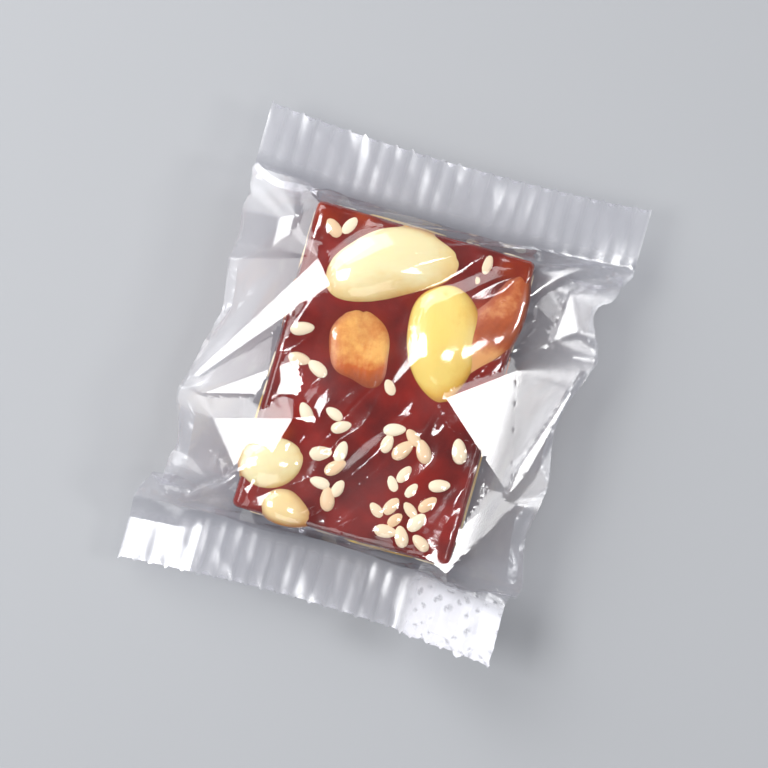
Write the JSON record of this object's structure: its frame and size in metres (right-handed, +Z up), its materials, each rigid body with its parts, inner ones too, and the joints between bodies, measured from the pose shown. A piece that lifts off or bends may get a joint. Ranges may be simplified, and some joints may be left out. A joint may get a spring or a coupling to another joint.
{
  "type": "banana peanut candy",
  "caption": "Wrapped sweet: a cut tablet of dark banana jelly with peanut halves and sesame seeds, in a loose clear film pack with ribbed, zigzag-cut end seals.",
  "frame": {"origin": "bottom centre of the whole pack's box, on the surface that it lies on, under the middle of the tablet", "axes": "+Y along the film tube from the front seal to the back seal, +X across the tablet, +Z up out of its top face"},
  "size_m": [0.051, 0.059, 0.0138],
  "materials": {
    "film": "clear polypropylene film, glossy and crinkled",
    "jelly": "glossy translucent banana jelly, dark red-brown",
    "peanut": "roasted peanut halves, cream to golden",
    "sesame": "hulled white sesame, satin"
  },
  "bodies": {
    "root": {"candy_pack": "film"}
  },
  "joints": []
}
